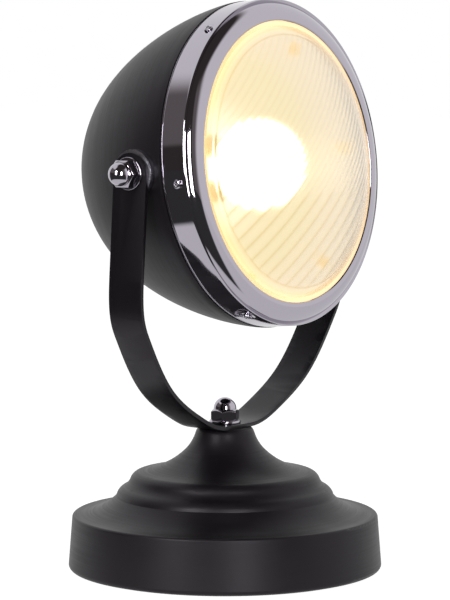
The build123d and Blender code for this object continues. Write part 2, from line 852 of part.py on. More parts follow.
pivot_discs = [washer(side_plane(side, arm_outer_face)) for side in sides]
with BuildPart() as pivot_washers:
    for disc in pivot_discs:
        add(disc)
pivot_washers.part.label = "pivot_washers"
export_step(pivot_washers.part, "parts/pivot_washers.step")

pivot_nuts = [cap_nut(side_plane(side, pivot_nut_seat)) for side in sides]
with BuildPart() as pivot_cap_nuts:
    for nut in pivot_nuts:
        add(nut)
pivot_cap_nuts.part.label = "pivot_cap_nuts"
export_step(pivot_cap_nuts.part, "parts/pivot_cap_nuts.step")

bowl_outside = bowl_solid(-saddle_clearance)
bowl_inside = bowl_solid(shell_wall + saddle_clearance)
with BuildPart() as saddle_spacers:
    for side in sides:
        with BuildSketch(side_plane(side, yoke_half_width)):
            Circle(spacer_radius)
            Circle(rod_radius + hole_clearance, mode=Mode.SUBTRACT)
        extrude(amount=-spacer_radius)
    add(bowl_outside, mode=Mode.SUBTRACT)
saddle_spacers.part.label = "saddle_spacers"
export_step(saddle_spacers.part, "parts/saddle_spacers.step")

with BuildPart() as inner_saddles:
    for side in sides:
        with BuildSketch(side_plane(side, saddle_inner_face)):
            Circle(spacer_radius)
            Circle(rod_radius + hole_clearance, mode=Mode.SUBTRACT)
        extrude(amount=spacer_radius)
    add(bowl_inside, mode=Mode.INTERSECT)
inner_saddles.part.label = "inner_saddles"
export_step(inner_saddles.part, "parts/inner_saddles.step")

# Grommet in the cord's hole at the back of the bowl
bowl_back = shell_front - shell_length
with BuildPart() as cord_grommet:
    with BuildSketch(head_section):
        with BuildLine():
            Polyline(
                (bowl_back - touch, grommet_flange),
                (bowl_back - touch - grommet_lip, grommet_flange - grommet_round),
                (bowl_back - touch - grommet_lip, cord_hole),
                (bowl_back + shell_wall + grommet_lip, cord_hole),
                (bowl_back + shell_wall + grommet_lip, grommet_flange - grommet_round),
                (bowl_back + shell_wall + 4 * touch, grommet_flange - grommet_round),
                (bowl_back + shell_wall + 4 * touch, grommet_hole - clip_clearance),
                (bowl_back - touch, grommet_hole - clip_clearance),
                close=True,
            )
        make_face()
    revolve(axis=head_axis)
cord_grommet.part.label = "cord_grommet"
export_step(cord_grommet.part, "parts/cord_grommet.step")
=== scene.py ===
import json
import bpy
import bmesh
import numpy as np
from math import pi, radians
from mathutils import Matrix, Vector


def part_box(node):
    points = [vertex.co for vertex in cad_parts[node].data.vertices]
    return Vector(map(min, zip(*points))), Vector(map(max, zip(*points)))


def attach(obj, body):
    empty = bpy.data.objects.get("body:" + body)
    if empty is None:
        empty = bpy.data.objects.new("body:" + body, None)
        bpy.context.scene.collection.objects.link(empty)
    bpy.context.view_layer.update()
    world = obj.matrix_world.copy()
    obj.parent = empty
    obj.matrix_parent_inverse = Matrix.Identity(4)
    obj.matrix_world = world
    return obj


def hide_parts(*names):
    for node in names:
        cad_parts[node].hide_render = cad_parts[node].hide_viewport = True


# Looks of the table lamp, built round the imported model. In metres, where no comment says mm.
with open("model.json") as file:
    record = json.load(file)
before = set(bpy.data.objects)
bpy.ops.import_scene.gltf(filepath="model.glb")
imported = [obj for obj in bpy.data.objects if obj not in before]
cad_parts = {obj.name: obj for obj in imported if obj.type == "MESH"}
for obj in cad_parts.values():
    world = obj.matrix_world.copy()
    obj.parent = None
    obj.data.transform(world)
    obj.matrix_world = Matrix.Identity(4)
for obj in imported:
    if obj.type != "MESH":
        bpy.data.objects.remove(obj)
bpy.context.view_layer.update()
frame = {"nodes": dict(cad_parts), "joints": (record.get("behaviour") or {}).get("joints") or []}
nodes = frame["nodes"]
mm = 0.001

# The head's own directions, from the tilt joint: s runs forward along its axis, r across it
tiltJoint = next(j for j in frame["joints"] if j["name"] == "tilt")
headTilt = radians(6.0)  # how far the head looks up in the photo's pose
headPivot = np.array(tiltJoint["pos_m"])
headAhead = np.array([0.0, -np.cos(headTilt), np.sin(headTilt)])
headUp = np.array([0.0, np.sin(headTilt), np.cos(headTilt)])
headSide = np.array([1.0, 0.0, 0.0])
headAxis = (tuple(headPivot), pi / 2 - headTilt)   # a point on it, and its turn about X from Z
baseAxis = ((0, 0, 0), 0.0)


def onHead(s, x, y):
    # points in the head's own measures to the lamp's frame
    return (headPivot + s[..., None] * headAhead + x[..., None] * headSide
            + y[..., None] * headUp)


def toLinear(hexColour):
    # sRGB hex to the linear values that the shaders take
    srgb = np.array([int(hexColour[i:i + 2], 16) for i in (1, 3, 5)]) / 255
    linear = np.where(srgb <= 0.04045, srgb / 12.92, ((srgb + 0.055) / 1.055) ** 2.4)
    return (*linear.tolist(), 1.0)


def addNode(tree, kind, settings=None, **inputs):
    # one node: settings are its properties, inputs its sockets, given as a value or a link;
    # _0, _1 name a socket by its place, other names stand for the socket's own
    node = tree.nodes.new(kind)
    for key, value in (settings or {}).items():
        setattr(node, key, value)
    for key, value in inputs.items():
        place = int(key[1:]) if key[1:].isdigit() else key.replace("_", " ")
        socket = node.inputs[place]
        if isinstance(value, bpy.types.NodeSocket):
            tree.links.new(value, socket)
        else:
            socket.default_value = value
    return node


def newMaterial(name):
    material = bpy.data.materials.new(name)
    material.use_nodes = True
    tree = material.node_tree
    tree.nodes.clear()
    return material, tree, tree.nodes.new("ShaderNodeOutputMaterial")


def meshFromGrid(name, points, closeU=False, closeV=False):
    # a grid of points, rows along u and columns along v, to quads; the seams wrap where asked
    rows, columns = points.shape[:2]
    u = np.arange(rows if closeU else rows - 1)
    v = np.arange(columns if closeV else columns - 1)
    uu, vv = np.meshgrid(u, v, indexing="ij")
    nextU, nextV = (uu + 1) % rows, (vv + 1) % columns
    quads = np.stack([uu * columns + vv, nextU * columns + vv,
                      nextU * columns + nextV, uu * columns + nextV], -1).reshape(-1, 4)
    mesh = bpy.data.meshes.new(name)
    mesh.from_pydata(points.reshape(-1, 3).tolist(), [], quads.tolist())
    return mesh


def joinMeshes(name, meshes, smoothAngle=40.0):
    # one mesh of several: joins the points of seams and poles, turns every face outwards
    work = bmesh.new()
    for part in meshes:
        work.from_mesh(part)
        bpy.data.meshes.remove(part)
    bmesh.ops.remove_doubles(work, verts=work.verts, dist=1e-6)
    bmesh.ops.dissolve_degenerate(work, dist=1e-7, edges=work.edges)
    bmesh.ops.recalc_face_normals(work, faces=work.faces)
    mesh = bpy.data.meshes.new(name)
    work.to_mesh(mesh)
    work.free()
    mesh.shade_smooth()
    mesh.set_sharp_from_angle(angle=radians(smoothAngle))
    return mesh


def addPiece(name, mesh, body, material, replaced=()):
    piece = bpy.data.objects.new(name, mesh)
    bpy.context.scene.collection.objects.link(piece)
    mesh.materials.append(material)
    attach(piece, body)
    if replaced:
        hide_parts(*replaced)
    return piece


def arcThrough(first, middle, last, count):
    # points of the circle through three points: its centre is where their bisectors meet
    a, b, c = (np.array(p, float) for p in (first, middle, last))
    centre = np.linalg.solve(2 * np.array([b - a, c - a]), [b @ b - a @ a, c @ c - a @ a])
    turns = np.unwrap([np.arctan2(*(p - centre)[::-1]) for p in (a, b, c)])
    t = np.linspace(turns[0], turns[2], count)
    radius = np.linalg.norm(a - centre)
    return centre + radius * np.stack([np.cos(t), np.sin(t)], -1)


def cornerArc(centre, radius, start, end, count):
    # points of a rounded corner, angles in degrees
    t = np.radians(np.linspace(start, end, count))
    return np.array(centre) + radius * np.stack([np.cos(t), np.sin(t)], -1)


# Camera: at the photo's viewpoint, with its lens
view = {
    "target": (0.0, 0.0, 0.13792),
    "azimuth": -53.07,       # degrees, 0 looks along +Y
    "elevation": 5.41,
    "distance": 1.4875,
    "focal": 175.6,          # mm on a 36 mm sensor
}


def towards(azimuth, elevation):
    # the way from the lamp to a viewer at that azimuth and elevation
    a, e = radians(azimuth), radians(elevation)
    return Vector((np.sin(a) * np.cos(e), -np.cos(a) * np.cos(e), np.sin(e)))


def makeCamera():
    back = towards(view["azimuth"], view["elevation"])
    camera = bpy.data.objects.new("camera", bpy.data.cameras.new("camera"))
    camera.data.lens = view["focal"]
    camera.data.sensor_width = 36
    camera.location = Vector(view["target"]) + back * view["distance"]
    camera.rotation_euler = (-back).to_track_quat("-Z", "Y").to_euler()
    bpy.context.scene.collection.objects.link(camera)
    bpy.context.scene.camera = camera


makeCamera()
print("camera placed")


def turnedTo(tree, where, axis):
    # coordinates measured from the axis's own point, with Z along the axis
    point, turn = axis
    return addNode(tree, "ShaderNodeMapping", {"vector_type": "TEXTURE"}, Vector=where,
                   Location=point, Rotation=(turn, 0, 0)).outputs[0]


def reachFrom(tree, local):
    # distance from the Z axis, in metres
    flat = addNode(tree, "ShaderNodeVectorMath", {"operation": "MULTIPLY"}, _0=local,
                   _1=(1, 1, 0))
    return addNode(tree, "ShaderNodeVectorMath", {"operation": "LENGTH"},
                   _0=flat.outputs[0]).outputs["Value"]


# Stove enamel, satin black: sprayed and baked over spun or bent steel. A warm black with a
# broad soft sheen, a fine orange peel, and faint rings of the spinning showing through.
enamel = {
    "colour": "#0d0a0d",
    "ior": 1.35, "glossTint": (0.96, 0.9, 1.0, 1.0),     # a faintly violet gloss
    "roughness": 0.42,
    "cloudSize": 18.0,       # mm, slow changes of the gloss
    "shinier": 0.03, "duller": 0.05,           # how far they take the roughness down and up
    "grainSize": 0.5, "grainDepth": 0.02,      # mm, orange peel of the spray
    "grainStrength": 0.25,
    "ringPitch": 0.9,        # mm between the spinning rings, drawn coarser than they are
    "ringDepth": 0.06,       # mm
    "ringStrength": 0.35,
    "ringGloss": 0.1,        # how far the rings take the roughness down and up
    "ringDrift": 0.02,       # how fast the rings change on the way round
    "barRoughness": 0.34,    # the bar was rolled smoother than the spun pieces
}


def enamelMaterial(name, roughness, axis=None):
    # the spinning rings lie round the piece's own axis; without one there are none
    material, tree, output = newMaterial(name)
    where = addNode(tree, "ShaderNodeTexCoord").outputs["Object"]
    grain = addNode(tree, "ShaderNodeTexNoise", Vector=where,
                    Scale=1 / (enamel["grainSize"] * mm), Detail=2.0)
    cloud = addNode(tree, "ShaderNodeTexNoise", Vector=where,
                    Scale=1 / (enamel["cloudSize"] * mm), Detail=3.0)
    gloss = addNode(tree, "ShaderNodeMapRange", Value=cloud.outputs[0],
                    To_Min=roughness - enamel["shinier"], To_Max=roughness + enamel["duller"])
    bump = addNode(tree, "ShaderNodeBump", Strength=enamel["grainStrength"],
                   Distance=enamel["grainDepth"] * mm, Height=grain.outputs[0])
    shine, normal = gloss.outputs[0], bump.outputs[0]
    if axis:
        # distance from the axis and along it, with a slow drift round it, drive one noise
        local = turnedTo(tree, where, axis)
        split = addNode(tree, "ShaderNodeSeparateXYZ", Vector=local)
        drift = addNode(tree, "ShaderNodeMath", {"operation": "MULTIPLY"},
                        _0=split.outputs[0], _1=enamel["ringDrift"])
        rings = addNode(tree, "ShaderNodeCombineXYZ", X=reachFrom(tree, local),
                        Y=split.outputs[2], Z=drift.outputs[0])
        streak = addNode(tree, "ShaderNodeTexNoise", Vector=rings.outputs[0],
                         Scale=1 / (enamel["ringPitch"] * mm), Detail=3.0, Roughness=0.7)
        lines = addNode(tree, "ShaderNodeBump", Strength=enamel["ringStrength"],
                        Distance=enamel["ringDepth"] * mm, Height=streak.outputs[0],
                        Normal=bump.outputs[0])
        spread = addNode(tree, "ShaderNodeMapRange", Value=streak.outputs[0],
                         To_Min=-enamel["ringGloss"], To_Max=enamel["ringGloss"])
        total = addNode(tree, "ShaderNodeMath", {"operation": "ADD"},
                        _0=gloss.outputs[0], _1=spread.outputs[0])
        shine, normal = total.outputs[0], lines.outputs[0]
    shader = addNode(tree, "ShaderNodeBsdfPrincipled", Base_Color=toLinear(enamel["colour"]),
                     Roughness=shine, IOR=enamel["ior"], Specular_Tint=enamel["glossTint"],
                     Normal=normal)
    tree.links.new(shader.outputs[0], output.inputs["Surface"])
    return material


# Chrome plate: bright, a little violet-grey, with hardly any haze
chrome = {"colour": "#b2adb7", "roughness": 0.05, "shinier": 0.02, "duller": 0.03,
          "hazeSize": 9.0}   # mm


def chromeMaterial(name):
    material, tree, output = newMaterial(name)
    where = addNode(tree, "ShaderNodeTexCoord").outputs["Object"]
    haze = addNode(tree, "ShaderNodeTexNoise", Vector=where,
                   Scale=1 / (chrome["hazeSize"] * mm), Detail=4.0)
    gloss = addNode(tree, "ShaderNodeMapRange", Value=haze.outputs[0],
                    To_Min=chrome["roughness"] - chrome["shinier"],
                    To_Max=chrome["roughness"] + chrome["duller"])
    shader = addNode(tree, "ShaderNodeBsdfPrincipled", Base_Color=toLinear(chrome["colour"]),
                     Metallic=1.0, Roughness=gloss.outputs[0])
    tree.links.new(shader.outputs[0], output.inputs["Surface"])
    return material


# Moulded, cast and rolled stock: how far its grain takes the roughness down and up, and mm deep
stockGrain = {"gloss": 0.05, "depth": 0.05}


def plainMaterial(name, colour, roughness, metallic=0.0, size=0.4, strength=0.1):
    # one colour, and a fine grain in the gloss and the surface, whose size is in mm
    material, tree, output = newMaterial(name)
    where = addNode(tree, "ShaderNodeTexCoord").outputs["Object"]
    grain = addNode(tree, "ShaderNodeTexNoise", Vector=where, Scale=1 / (size * mm), Detail=3.0)
    gloss = addNode(tree, "ShaderNodeMapRange", Value=grain.outputs[0],
                    To_Min=roughness - stockGrain["gloss"],
                    To_Max=roughness + stockGrain["gloss"])
    bump = addNode(tree, "ShaderNodeBump", Strength=strength, Distance=stockGrain["depth"] * mm,
                   Height=grain.outputs[0])
    shader = addNode(tree, "ShaderNodeBsdfPrincipled", Base_Color=toLinear(colour),
                     Metallic=metallic, Roughness=gloss.outputs[0], Normal=bump.outputs[0])
    tree.links.new(shader.outputs[0], output.inputs["Surface"])
    return material


def glowMaterial(name, colour, glow, strength, roughness=0.35, metallic=0.0):
    # a lit surface: its own colour, and an even glow
    material, tree, output = newMaterial(name)
    shader = addNode(tree, "ShaderNodeBsdfPrincipled", Base_Color=toLinear(colour),
                     Metallic=metallic, Roughness=roughness, Emission_Color=toLinear(glow),
                     Emission_Strength=strength)
    tree.links.new(shader.outputs[0], output.inputs["Surface"])
    return material


spunBase = enamelMaterial("stove enamel on spun base", enamel["roughness"], baseAxis)
spunBowl = enamelMaterial("stove enamel on spun bowl", enamel["roughness"], headAxis)
enamelBar = enamelMaterial("stove enamel on flat bar", enamel["barRoughness"])
chromePlate = chromeMaterial("chrome plate")
zincPlate = plainMaterial("zinc plate", "#c4c2cc", 0.24, metallic=1.0)
# the retainer clips, of spring-tempered steel, with a painted glow that stands for the bulb's
# light on them
clipSteelPaintedGlow = glowMaterial("spring steel", "#e2d2ae", "#f3d389", strength=0.45, roughness=0.4,
                         metallic=1.0)
castIron = plainMaterial("cast iron", "#3a3a3c", 0.7, metallic=0.6, size=1.2, strength=0.5)
foamRubber = plainMaterial("foam rubber", "#1b1b1c", 0.85, size=0.6, strength=0.5)
brassSheet = plainMaterial("brass", "#b5944e", 0.3, metallic=1.0)
opalGlow = glowMaterial("opal glass", "#fff6e0", "#fff3da", strength=2.0)   # the bulb, alight

# Black phenolic, moulded: the holder's front end has a painted glow that stands for the light of
# the bulb beside it
holder = {"colour": "#17161a", "roughness": 0.4, "glow": "#f6d491", "strength": 0.7,
          "litFrom": -22.5, "litFully": -20.5}    # mm along the head's axis


def phenolicMaterial():
    material, tree, output = newMaterial("black phenolic")
    where = addNode(tree, "ShaderNodeTexCoord").outputs["Object"]
    split = addNode(tree, "ShaderNodeSeparateXYZ", Vector=turnedTo(tree, where, headAxis))
    # painted glow: emission rising along the head's axis to full strength at the holder's front
    # end
    glow = addNode(tree, "ShaderNodeMapRange", {"interpolation_type": "SMOOTHSTEP"},
                   Value=split.outputs[2], From_Min=holder["litFrom"] * mm,
                   From_Max=holder["litFully"] * mm, To_Max=holder["strength"])
    shader = addNode(tree, "ShaderNodeBsdfPrincipled", Base_Color=toLinear(holder["colour"]),
                     Roughness=holder["roughness"], Emission_Color=toLinear(holder["glow"]),
                     Emission_Strength=glow.outputs[0])
    tree.links.new(shader.outputs[0], output.inputs["Surface"])
    return material


phenolic = phenolicMaterial()

# Reflector: bright sheet with a painted glow that stands for the bulb's light: brightest round
# the bulb, cream further out, paler again at the rim
mirror = {
    "colour": "#5c5547", "roughness": 0.5,
    "nearGlow": 1.25, "farGlow": 0.87,
    "nearReach": 0.016, "farReach": 0.040,     # m from the axis
    "nearColour": "#fff6e2", "farColour": "#fff0c6",
    "rimStart": 0.050, "rimReach": 0.062, "rimColour": "#ffeed2", "rimGlow": 0.89,
}


def reflectorMaterial():
    material, tree, output = newMaterial("bright aluminium")
    where = addNode(tree, "ShaderNodeTexCoord").outputs["Object"]
    reach = reachFrom(tree, turnedTo(tree, where, headAxis))
    # painted glow: emission colour and strength set by the distance from the head's axis
    out = addNode(tree, "ShaderNodeMapRange", {"interpolation_type": "SMOOTHSTEP"},
                  Value=reach, From_Min=mirror["nearReach"], From_Max=mirror["farReach"])
    rim = addNode(tree, "ShaderNodeMapRange", {"interpolation_type": "SMOOTHSTEP"},
                  Value=reach, From_Min=mirror["rimStart"], From_Max=mirror["rimReach"])
    colour = addNode(tree, "ShaderNodeMix", {"data_type": "RGBA"}, _0=out.outputs[0],
                     _6=toLinear(mirror["nearColour"]), _7=toLinear(mirror["farColour"]))
    colour = addNode(tree, "ShaderNodeMix", {"data_type": "RGBA"}, _0=rim.outputs[0],
                     _6=colour.outputs[2], _7=toLinear(mirror["rimColour"]))
    glow = addNode(tree, "ShaderNodeMapRange", Value=out.outputs[0],
                   To_Min=mirror["nearGlow"], To_Max=mirror["farGlow"])
    glow = addNode(tree, "ShaderNodeMix", {"data_type": "FLOAT"}, _0=rim.outputs[0],
                   _2=glow.outputs[0], _3=mirror["rimGlow"])
    shader = addNode(tree, "ShaderNodeBsdfPrincipled", Base_Color=toLinear(mirror["colour"]),
                     Metallic=1.0, Roughness=mirror["roughness"],
                     Emission_Color=colour.outputs[2], Emission_Strength=glow.outputs[0])
    tree.links.new(shader.outputs[0], output.inputs["Surface"])
    return material


brightSheetPaintedGlow = reflectorMaterial()

finishes = {
    spunBase: ["base_shell"],
    spunBowl: ["lamp_shell"],
    enamelBar: ["yoke"],
    chromePlate: ["trim_ring", "ring_screws", "base_cap_nut", "base_cap_washer",
                  "pivot_cap_nuts", "pivot_washers"],
    zincPlate: ["center_rod", "rod_nuts", "rod_washers", "pivot_bolts", "base_plate",
                "saddle_spacers", "inner_saddles"],
    clipSteelPaintedGlow: ["retainer_clips"],
    castIron: ["base_weight"],
    foamRubber: ["foot_pad", "lens_gasket", "cord_grommet"],
    brassSheet: ["bulb_cap", "holder_sleeve", "holder_contact"],
    phenolic: ["holder_body", "holder_ring"],
    opalGlow: ["bulb_glass"],
    brightSheetPaintedGlow: ["reflector"],
}
for material, names in finishes.items():
    for name in names:
        nodes[name].data.materials.clear()
        nodes[name].data.materials.append(material)
print("CAD pieces finished")

# Trim ring: plated sheet, a plain band with a rolled rear bead, a narrow step, then the
# rounded lip that holds the glass. Small dimples seat the screws.
ringForm = {
    "rear": 15.35, "radius": 81.75, "sheet": 1.0,       # mm, as the solid
    "bead": 0.6, "beadSunk": 0.1,                       # mm below the band
    "groove": 0.28, "grooveFrom": 0.2, "grooveTo": 0.5, "bandFrom": 0.8,   # mm past the bead
    "corner": 1.1, "bandEnd": 29.2, "shoulderEnd": (30.23, 81.18), "notch": (29.5, 80.0),
    "lipStart": (30.1, 79.6), "lipCrest": (32.75, 76.3), "lipFront": 33.6,
    "aperture": 70.3, "lipLand": 0.4, "rim": ((0.12, 0.25), (0.4, 0.0)),
    "crestInside": (0.87, 0.45), "startInside": (0.75, 0.8), "notchInside": (1.0, 0.6),
    "segments": 540,
    "screwPlace": 24.5, "screwCount": 6, "screwFromBottom": 25.0,   # degrees
    "dimpleRadius": 3.1, "dimpleDepth": 0.22, "dimpleSteepness": 6,
    "bandWithin": 0.4,       # mm below the radius; the lip and the inside lie deeper
}


def screwTurns():
    # angles of the screws round the head, from +X towards up
    first = -90.0 - ringForm["screwFromBottom"]
    return np.radians(first + 360.0 / ringForm["screwCount"] * np.arange(ringForm["screwCount"]))


def ringSection():
    # the section (s, r) as one closed line: a rear bead behind a shallow groove, the band, a
    # rounded shoulder, a sharp notch and the lip's arc; then back along the inside
    f = ringForm
    outer, inner = f["radius"], f["radius"] - f["sheet"]
    bead, corner, groove = f["bead"], f["corner"], f["groove"]
    beadEnd = f["rear"] + bead
    land = f["aperture"] + f["lipLand"]
    notch = np.array(f["notch"])
    beadTop = cornerArc((beadEnd, outer - bead - f["beadSunk"]), bead, 180, 84, 12)
    dip = [(beadEnd + f[place], outer - groove) for place in ("grooveFrom", "grooveTo")]
    band = [(s, outer) for s in np.linspace(beadEnd + f["bandFrom"], f["bandEnd"], 30)]
    shoulder = cornerArc((f["bandEnd"], outer - corner), corner, 84, 45, 10)
    lip = arcThrough(f["lipStart"], f["lipCrest"], (f["lipFront"], land), 36)
    rim = [(f["lipFront"] - back, f["aperture"] + out) for back, out in f["rim"]]
    inside = arcThrough((f["lipFront"] - f["sheet"], land),
                        np.subtract(f["lipCrest"], f["crestInside"]),
                        np.subtract(f["lipStart"], f["startInside"]), 10)
    back = notch - f["notchInside"]
    return np.concatenate([beadTop, dip, band, shoulder, [f["shoulderEnd"], notch], lip, rim,
                           inside, [back, (back[0], inner), (f["rear"], inner)]])


def makeRing():
    # the section carried round the head's axis; near each screw the band sinks by a smooth
    # bump of the distance from the screw
    section = ringSection()
    turns = np.linspace(0, 2 * pi, ringForm["segments"], endpoint=False)
    s, r = (np.repeat(section[:, k, None], len(turns), 1) for k in (0, 1))
    onBand = r > ringForm["radius"] - ringForm["bandWithin"]
    for screw in screwTurns():
        around = (turns - screw + pi) % (2 * pi) - pi
        away = np.hypot(s - ringForm["screwPlace"], ringForm["radius"] * around[None, :])
        dip = np.exp(-(away / ringForm["dimpleRadius"]) ** ringForm["dimpleSteepness"])
        r = r - onBand * ringForm["dimpleDepth"] * dip
    points = onHead(s * mm, r * mm * np.cos(turns), r * mm * np.sin(turns))
    mesh = joinMeshes("trim_ring_plated", [meshFromGrid("ring", points, True, True)],
                      smoothAngle=50)
    return addPiece("trim_ring_plated", mesh, "head", chromePlate, ["trim_ring"])


makeRing()
print("trim ring made")

# Domed cap nuts: a hexagon with its corners cut by a cone, and a half ball, plated
nutForm = {
    "flats": 13.0, "hexHeight": 5.5, "height": 11.6, "bore": 4.3,   # mm
    "land": 6.0, "cut": radians(30.0),           # radius where the top cone begins, its slope
    "seat": 0.25, "seatSlope": 0.9 / 0.35,       # the same of the cone underneath
    "ballRadius": 5.8, "fillet": ((0.12, 0.02), (0.0, 0.14)),   # mm out and up, at its foot
    "sharpness": 26.0, "segments": 180,
    "seatRows": (0.0, 0.8, 7), "sideRows": (1.2, 3.6, 5),    # mm from and to, and how many
    "topFrom": 3.9, "topRows": 16, "ballRows": 22,
    "baseTurn": radians(24.6),   # where the base nut's corner came to rest
}


def nutPoints():
    # rows up the outline, columns round it. The radius of a row is the smaller of the
    # hexagon's, flats/2 over the cosine of the angle to the nearest flat, and the cone's,
    # blended by a high power mean so that the edges are a little soft
    f = nutForm
    around = np.linspace(0, 2 * pi, f["segments"], endpoint=False)
    fromFlat = (around % (pi / 3)) - pi / 6
    hexagon = f["flats"] / 2 / np.cos(fromFlat)
    p = f["sharpness"]
    heights = np.concatenate([np.linspace(*f["seatRows"]), np.linspace(*f["sideRows"]),
                              np.linspace(f["topFrom"], f["hexHeight"], f["topRows"])])
    cone = f["land"] + (f["hexHeight"] - heights) / np.tan(f["cut"])
    seat = f["flats"] / 2 + f["seat"] + heights * f["seatSlope"]
    limit = np.minimum(cone, seat)[:, None]
    body = (hexagon[None, :] ** -p + limit ** -p) ** (-1 / p)
    rows = [(np.full_like(around, f["bore"]), 0.0)]
    rows += list(zip(body, heights))
    ball = f["ballRadius"]
    foot = f["height"] - ball
    rows += [(np.full_like(around, ball + out), f["hexHeight"] + up) for out, up in f["fillet"]]
    for t in np.linspace(0, pi / 2, f["ballRows"]):
        rows.append((np.full_like(around, ball * np.cos(t)), foot + ball * np.sin(t)))
    radius = np.stack([row[0] for row in rows]) * mm
    height = np.array([row[1] for row in rows])[:, None] * mm + 0 * radius
    return radius * np.cos(around), radius * np.sin(around), height


def makeNuts():
    x, y, z = nutPoints()
    turn = nutForm["baseTurn"]
    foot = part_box("base_cap_nut")[0][2]
    base = np.stack([x * np.cos(turn) - y * np.sin(turn), x * np.sin(turn) + y * np.cos(turn),
                     foot + z], -1)
    mesh = joinMeshes("base_nut_plated", [meshFromGrid("nut", base, closeV=True)],
                      smoothAngle=30)
    addPiece("base_nut_plated", mesh, "base", chromePlate, ["base_cap_nut"])
    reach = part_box("pivot_cap_nuts")[1][0] - nutForm["height"] * mm
    parts = []
    for side in (-1, 1):
        spot = np.stack([side * (reach + z), headPivot[1] + x, headPivot[2] + y], -1)
        parts.append(meshFromGrid("nut", spot, closeV=True))
    mesh = joinMeshes("pivot_nuts_plated", parts, smoothAngle=30)
    addPiece("pivot_nuts_plated", mesh, "head", chromePlate, ["pivot_cap_nuts"])


makeNuts()
print("cap nuts made")

# Ring screws: low pan heads with a cross recess, and their shanks
screwForm = {"radius": 2.2, "height": 1.2, "crown": 0.45, "rim": 0.25,
             "shank": 1.25, "length": 3.9,
             "recess": 0.62, "recessWidth": 0.5, "recessReach": 1.25,
             "wallBlend": 0.05, "endBlend": 0.08, "grid": 49}   # mm, but for the grid


def discGrid(across, along, radius):
    # a square grid pressed round to a disc: x = u sqrt(1 - v^2/2), y = v sqrt(1 - u^2/2)
    u, v = np.meshgrid(np.linspace(-1, 1, across), np.linspace(-1, 1, along), indexing="ij")
    return radius * u * np.sqrt(1 - v * v / 2), radius * v * np.sqrt(1 - u * u / 2)


def edgeOf(grid):
    # the points round the border of a grid, in order
    return np.concatenate([grid[:-1, 0], grid[-1, :-1], grid[:0:-1, -1], grid[0, :0:-1]])


def makeScrews():
    # the head is a disc whose height falls as the fourth power of the radius, less a cross
    # of two soft-edged slots; its border drops to the seat and on down the shank
    f = screwForm
    x, y = discGrid(f["grid"], f["grid"], f["radius"])
    rho = np.hypot(x, y) / f["radius"]
    top = f["height"] * (1 - f["crown"] * rho ** 4)

    def slot(a, b):
        wide = 1 / (1 + np.exp((np.abs(a) - f["recessWidth"] / 2) / f["wallBlend"]))
        return wide / (1 + np.exp((np.abs(b) - f["recessReach"]) / f["endBlend"]))

    top = top - f["recess"] * np.maximum(slot(x, y), slot(y, x))
    ex, ey = edgeOf(x), edgeOf(y)
    share = np.hypot(ex, ey)
    loops = [np.stack([ex, ey, edgeOf(top)], -1)]
    for radius, height in ((f["radius"], f["rim"]), (f["radius"], 0.0), (f["shank"], 0.0),
                           (f["shank"], -f["length"]), (0.0, -f["length"])):
        loops.append(np.stack([ex / share * radius, ey / share * radius,
                               np.full_like(ex, height)], -1))
    parts = []
    for screw in screwTurns():
        for grid, closed in ((np.stack([x, y, top], -1), False), (np.stack(loops), True)):
            out = (ringForm["radius"] + grid[..., 2]) * mm
            across = grid[..., 0] * mm
            place = onHead((ringForm["screwPlace"] + grid[..., 1]) * mm,
                           out * np.cos(screw) - across * np.sin(screw),
                           out * np.sin(screw) + across * np.cos(screw))
            parts.append(meshFromGrid("screw", place, closeV=closed))
    mesh = joinMeshes("ring_screws_plated", parts, smoothAngle=60)
    addPiece("ring_screws_plated", mesh, "head", chromePlate, ["ring_screws"])


makeScrews()
print("ring screws made")

# Pressed and turned parts with their edges slightly rounded, from copies of the solids
softEdges = {   # new name, body, slot, and mm of rounding
    "yoke": ("yoke_bar", "yoke", "black_enamel", 0.4),
    "pivot_washers": ("pivot_washers_rounded", "head", "chrome", 0.35),
    "base_cap_washer": ("base_washer_rounded", "base", "chrome", 0.35),
    "saddle_spacers": ("spacers_rounded", "head", "zinc_steel", 0.9),
}
edgeAngles = {"flat": radians(0.3), "sharp": radians(50)}   # faces join below, edges round above
edgeSegments = 4


def roundEdges(node):
    name, body, slot, rounding = softEdges[node]
    work = bmesh.new()
    work.from_mesh(nodes[node].data)
    bmesh.ops.remove_doubles(work, verts=work.verts, dist=1e-6)
    bmesh.ops.dissolve_limit(work, angle_limit=edgeAngles["flat"], verts=work.verts,
                             edges=work.edges)
    mesh = bpy.data.meshes.new(name)
    work.to_mesh(mesh)
    work.free()
    material = nodes[node].data.materials[0]
    mesh.materials.clear()
    mesh.shade_smooth()
    piece = addPiece(name, mesh, body, material, [node])
    bevel = piece.modifiers.new("edges", "BEVEL")
    bevel.width = rounding * mm
    bevel.segments = edgeSegments
    bevel.limit_method = "ANGLE"
    bevel.angle_limit = edgeAngles["sharp"]
    bevel.harden_normals = True


for node in softEdges:
    roundEdges(node)
print("rounded parts made")

# Lens: pressed glass, smooth outside, fluted inside. The flutes lean, finer across the
# middle than below it.
lensForm = {
    "domeRadius": 70.1, "edge": 33.1, "sag": 18.0,
    "boreRadius": 67.1, "boreEdge": 31.6, "boreSag": 16.5,
    "flangeRadius": 73.2, "flangeFront": 29.9, "flangeBack": 26.9,   # mm
    "lean": radians(48.0),   # of the flutes, from upright
    "pitch": 3.45,           # mm, of the fine flutes; the lower ones are twice as wide
    "depth": 0.05, "lowerRise": 0.8,           # mm, and how much higher the wide ones are
    "zoneHeight": -16.0, "zoneBlend": 0.8,     # mm from the middle, where the wide ones begin
    "margin": 62.0, "marginBlend": 0.5,        # mm, the flutes end here; a plain edge follows
    "bead": 1.6, "beadOut": 1.2, "beadWide": 0.6,    # of the depth, mm past the margin, mm
    # the two lines past the margin are painted shade, tinted into the glass, with no shape of
    # their own
    "lines": ((0.4, 0.9), (3.4, 0.4)), "lineWide": 0.45,   # mm past the margin and strength
    "across": 361, "along": 161,               # points of the grid
    "nearDome": 0.5,         # mm, how near the inner dome a point counts as on it
}


